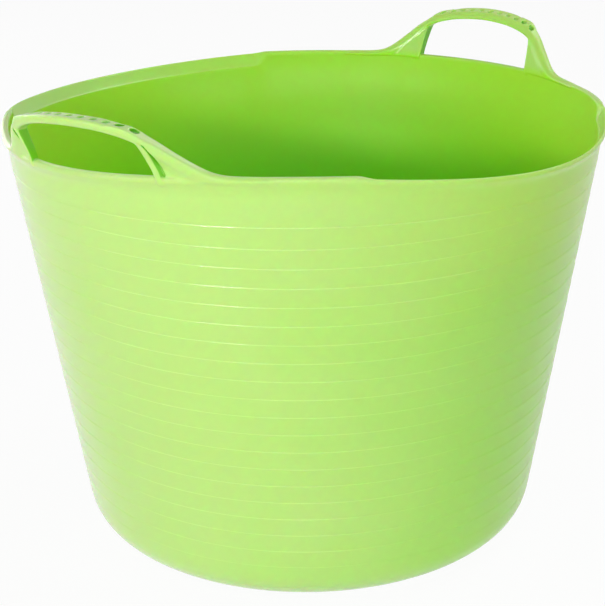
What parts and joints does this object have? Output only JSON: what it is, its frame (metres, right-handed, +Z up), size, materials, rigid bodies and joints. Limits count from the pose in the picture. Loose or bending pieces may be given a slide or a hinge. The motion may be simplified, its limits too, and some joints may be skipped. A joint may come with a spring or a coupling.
{
  "type": "flexible tub",
  "caption": "Flexible tapered tub with a rounded foot, finely ringed wall, flared pouring lips and a loop handle on each side of the rim.",
  "frame": {"origin": "on the ground under the middle of the tub", "axes": "+Z up, handles on +X and -X, pouring lips towards -Y and +Y"},
  "size_m": [0.4742, 0.4504, 0.3705],
  "materials": {
    "tub_polyethylene": "satin, slightly translucent polyethylene"
  },
  "bodies": {
    "tub": {"floor": "tub_polyethylene", "side_wall": "tub_polyethylene", "left_rim_band": "tub_polyethylene", "right_rim_band": "tub_polyethylene", "front_lip": "tub_polyethylene", "rear_lip": "tub_polyethylene", "left_front_leg": "tub_polyethylene", "left_rear_leg": "tub_polyethylene", "right_front_leg": "tub_polyethylene", "right_rear_leg": "tub_polyethylene"},
    "left_handle": {"left_grip": "tub_polyethylene"},
    "right_handle": {"right_grip": "tub_polyethylene"}
  },
  "joints": [
    {"name": "right_handle_flex", "type": "hinge", "parent": "tub", "child": "right_handle", "pos_m": [0.21702, 0, 0.342], "axis": [0, -1, 0], "range_deg": [-35, 55], "stiffness_Nm_per_rad": 0.8},
    {"name": "left_handle_flex", "type": "hinge", "parent": "tub", "child": "left_handle", "pos_m": [-0.21702, 0, 0.342], "axis": [0, 1, 0], "range_deg": [-35, 55], "stiffness_Nm_per_rad": 0.8}
  ]
}
